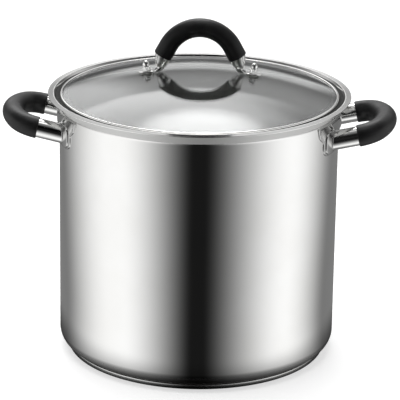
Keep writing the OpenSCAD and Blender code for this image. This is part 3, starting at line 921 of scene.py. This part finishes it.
def side_light(f, turn):
    """Brightness round the studio: dark in front, bright at both sides, dim behind."""
    away = abs(turn)
    right = f.smooth(turn, -0.2, 0.2)
    left_open = f.turn_smooth(away, 5, 74)
    right_open = f.turn_smooth(away, 4, 89)
    left_dim = f.turn_smooth(away, 85, 170, 0.0, BACK_DIM)
    right_dim = f.turn_smooth(away, 88, 158, 0.0, BACK_DIM)
    opening = left_open * (1 - right) + right_open * right
    dim = left_dim * (1 - right) + right_dim * right
    return opening * (1 - dim) + FRONT_LEVEL


def turn_about_axis(f, vector):
    """Angle about the pot's axis, nought towards the front and growing to the right."""
    split = f.node("SeparateXYZ", None, {0: vector})
    across, along = split.part("X"), split.part("Y")
    return split.sum("ARCTAN2", across, 0 - along), split


def lit_floor():
    """A pale floor, which the steel sees as the studio's lower half: for glossy rays it glows as painted
    light, bright at the sides and dark in front, with a painted shadow round the pot's foot.
    """
    bpy.ops.mesh.primitive_circle_add(vertices=96, radius=8.0, fill_type="NGON", location=(0, 0, -FLOOR_DROP))
    floor = bpy.context.object
    floor.name = "floor"
    material, f = new_finish("pale_floor")
    path = f.node("LightPath")
    place = f.on_object()
    turn, _ = turn_about_axis(f, place)
    reach = f.length(place)
    turn = (turn - SIDE_TURN) * (1 + WALL_R * MM / reach)
    # A painted shadow round the pot's foot, which only reflections see
    painted_foot_shadow = f.smooth(reach, 0.13, 0.24)
    level = side_light(f, turn) * painted_foot_shadow * SIDE_LEVEL
    # Painted light: the glow that steel reflects from the floor, bright at the sides and dark in front
    painted_glow_in_metal = f.node("Emission", None, {"Color": level, "Strength": 1.0})
    paper = f.node("BsdfDiffuse", None, {"Color": grey(FLOOR_GREY)})
    glow = f.node("Emission", None, {"Color": path.part("Is Camera Ray") * FLOOR_GLOW, "Strength": 1.0})
    plain = f.node("AddShader", None, {0: paper, 1: glow})
    in_metal = path.part("Is Glossy Ray") * (1 - path.part("Is Transmission Ray"))
    close_finish(f, f.node("MixShader", None, {0: in_metal, 1: plain, 2: painted_glow_in_metal}))
    floor.data.materials.append(material)


def soft_box(f, way, turn, rise, full, end):
    """A soft round light in the studio, given in degrees: bright to its full radius, gone at its end."""
    turn, rise = turn * DEG, rise * DEG
    middle = (math.sin(turn) * math.cos(rise), -math.cos(turn) * math.cos(rise), math.sin(rise))
    towards = f.node("VectorMath", {"operation": "DOT_PRODUCT"}, {0: way, 1: middle}, "Value")
    return f.smooth(towards, math.cos(end * DEG), math.cos(full * DEG))


def back_wall(f, rise, aside):
    """Brightness behind the pot: it grows with height, with a low glow in the middle."""
    wall = f.turn_smooth(rise, 6, 32, 0.12, 0.95)
    glow = f.turn_smooth(rise, 3, 7) * f.turn_smooth(rise, 15.5, 11)
    return wall + glow * f.turn_smooth(abs(aside), 13, 7) * GLOW_LEVEL


def left_panel(f, rise, aside):
    """A tall soft panel at the back left, wider at its top."""
    wider = f.turn_smooth(rise, 34, 44, 0.0, 10 * DEG)
    upper = f.turn_smooth(rise, 29, 33) * f.turn_smooth(aside - wider, 20, -6)
    lower = f.turn_smooth(aside, -8, -15) * f.turn_smooth(rise, 4, 12) * PANEL_FOOT
    far_left = f.turn_smooth(aside, -42, -24)
    return (1 - (1 - upper) * (1 - lower)) * far_left * f.turn_smooth(rise, 70, 58) * PANEL_LEVEL


def studio_world():
    """The studio that steel and glass reflect. The camera sees plain white."""
    world = bpy.data.worlds.new("studio")
    scene.world = world
    world.use_nodes = True
    f = Finish(world.node_tree)
    path = f.node("LightPath")
    way = f.node("TexCoord", output="Generated")
    turn, split = turn_about_axis(f, way)
    rise = split.sum("ARCSINE", split.part("Z"))
    aside = split.sum("ARCTAN2", split.part("X"), split.part("Y"))
    sides = side_light(f, turn - SIDE_TURN) * SIDE_LEVEL * f.turn_smooth(rise, 8, 30, 1.0, 0.15)
    back = f.turn_smooth(abs(turn), 110, 150)
    low = sides * (1 - back) + back_wall(f, rise, aside) * back
    overhead = f.turn_smooth(rise, 40, 72)
    box = soft_box(f, way, 181.0, 56.0, 5.0, 15.0) * BOX_LEVEL
    crown = soft_box(f, way, 0.0, 90.0, 8.0, 18.0) * CROWN_LEVEL
    light = low * (1 - overhead) + OVERHEAD_LEVEL * overhead + box + left_panel(f, rise, aside) + crown
    studio = f.node("Background", None, {"Color": light, "Strength": 1.0})
    white = f.node("Background", None, {"Color": grey(1.0), "Strength": 1.0})
    shader = f.node("MixShader", None, {0: path.part("Is Camera Ray"), 1: studio, 2: white})
    f.node("OutputWorld", None, {"Surface": shader})


def soft_lamp():
    """A wide lamp overhead, which gives the soft shadow and shows in no reflection."""
    data = bpy.data.lights.new("overhead_softbox", "AREA")
    data.shape = "DISK"
    data.size = 2.4
    data.energy = 60.0
    lamp = bpy.data.objects.new("overhead_softbox", data)
    scene.collection.objects.link(lamp)
    lamp.location = (-0.3, 0.2, 2.4)
    lamp.visible_camera = False
    lamp.visible_glossy = False
    lamp.visible_transmission = False


# Camera

LENS = 213.98
DISTANCE = 2.6026
AZIMUTH = 2.0 * DEG
ELEVATION = 18.66 * DEG
ROLL = 0.9 * DEG
TARGET = Vector((2.16, 0.0, 165.18)) * MM


def photo_camera():
    """A long lens at the angle of the photograph."""
    data = bpy.data.cameras.new("camera")
    data.lens = LENS
    data.sensor_width = 36.0
    data.clip_end = 50.0
    camera = bpy.data.objects.new("camera", data)
    scene.collection.objects.link(camera)
    level_reach = math.cos(ELEVATION)
    back = Vector((math.sin(AZIMUTH) * level_reach, -math.cos(AZIMUTH) * level_reach, math.sin(ELEVATION)))
    level = Vector((math.cos(AZIMUTH), math.sin(AZIMUTH), 0.0))
    right = level * math.cos(ROLL) + back.cross(level) * math.sin(ROLL)
    up = back.cross(right)
    place = Matrix.Rotation(AZIMUTH, 3, "Z") @ TARGET + back * DISTANCE
    camera.matrix_world = Matrix((
        (right.x, up.x, back.x, place.x),
        (right.y, up.y, back.y, place.y),
        (right.z, up.z, back.z, place.z),
        (0, 0, 0, 1),
    ))
    scene.camera = camera


make_pieces(dress_cad_pieces())
lit_floor()
studio_world()
soft_lamp()
photo_camera()
scene.view_settings.view_transform = "Standard"
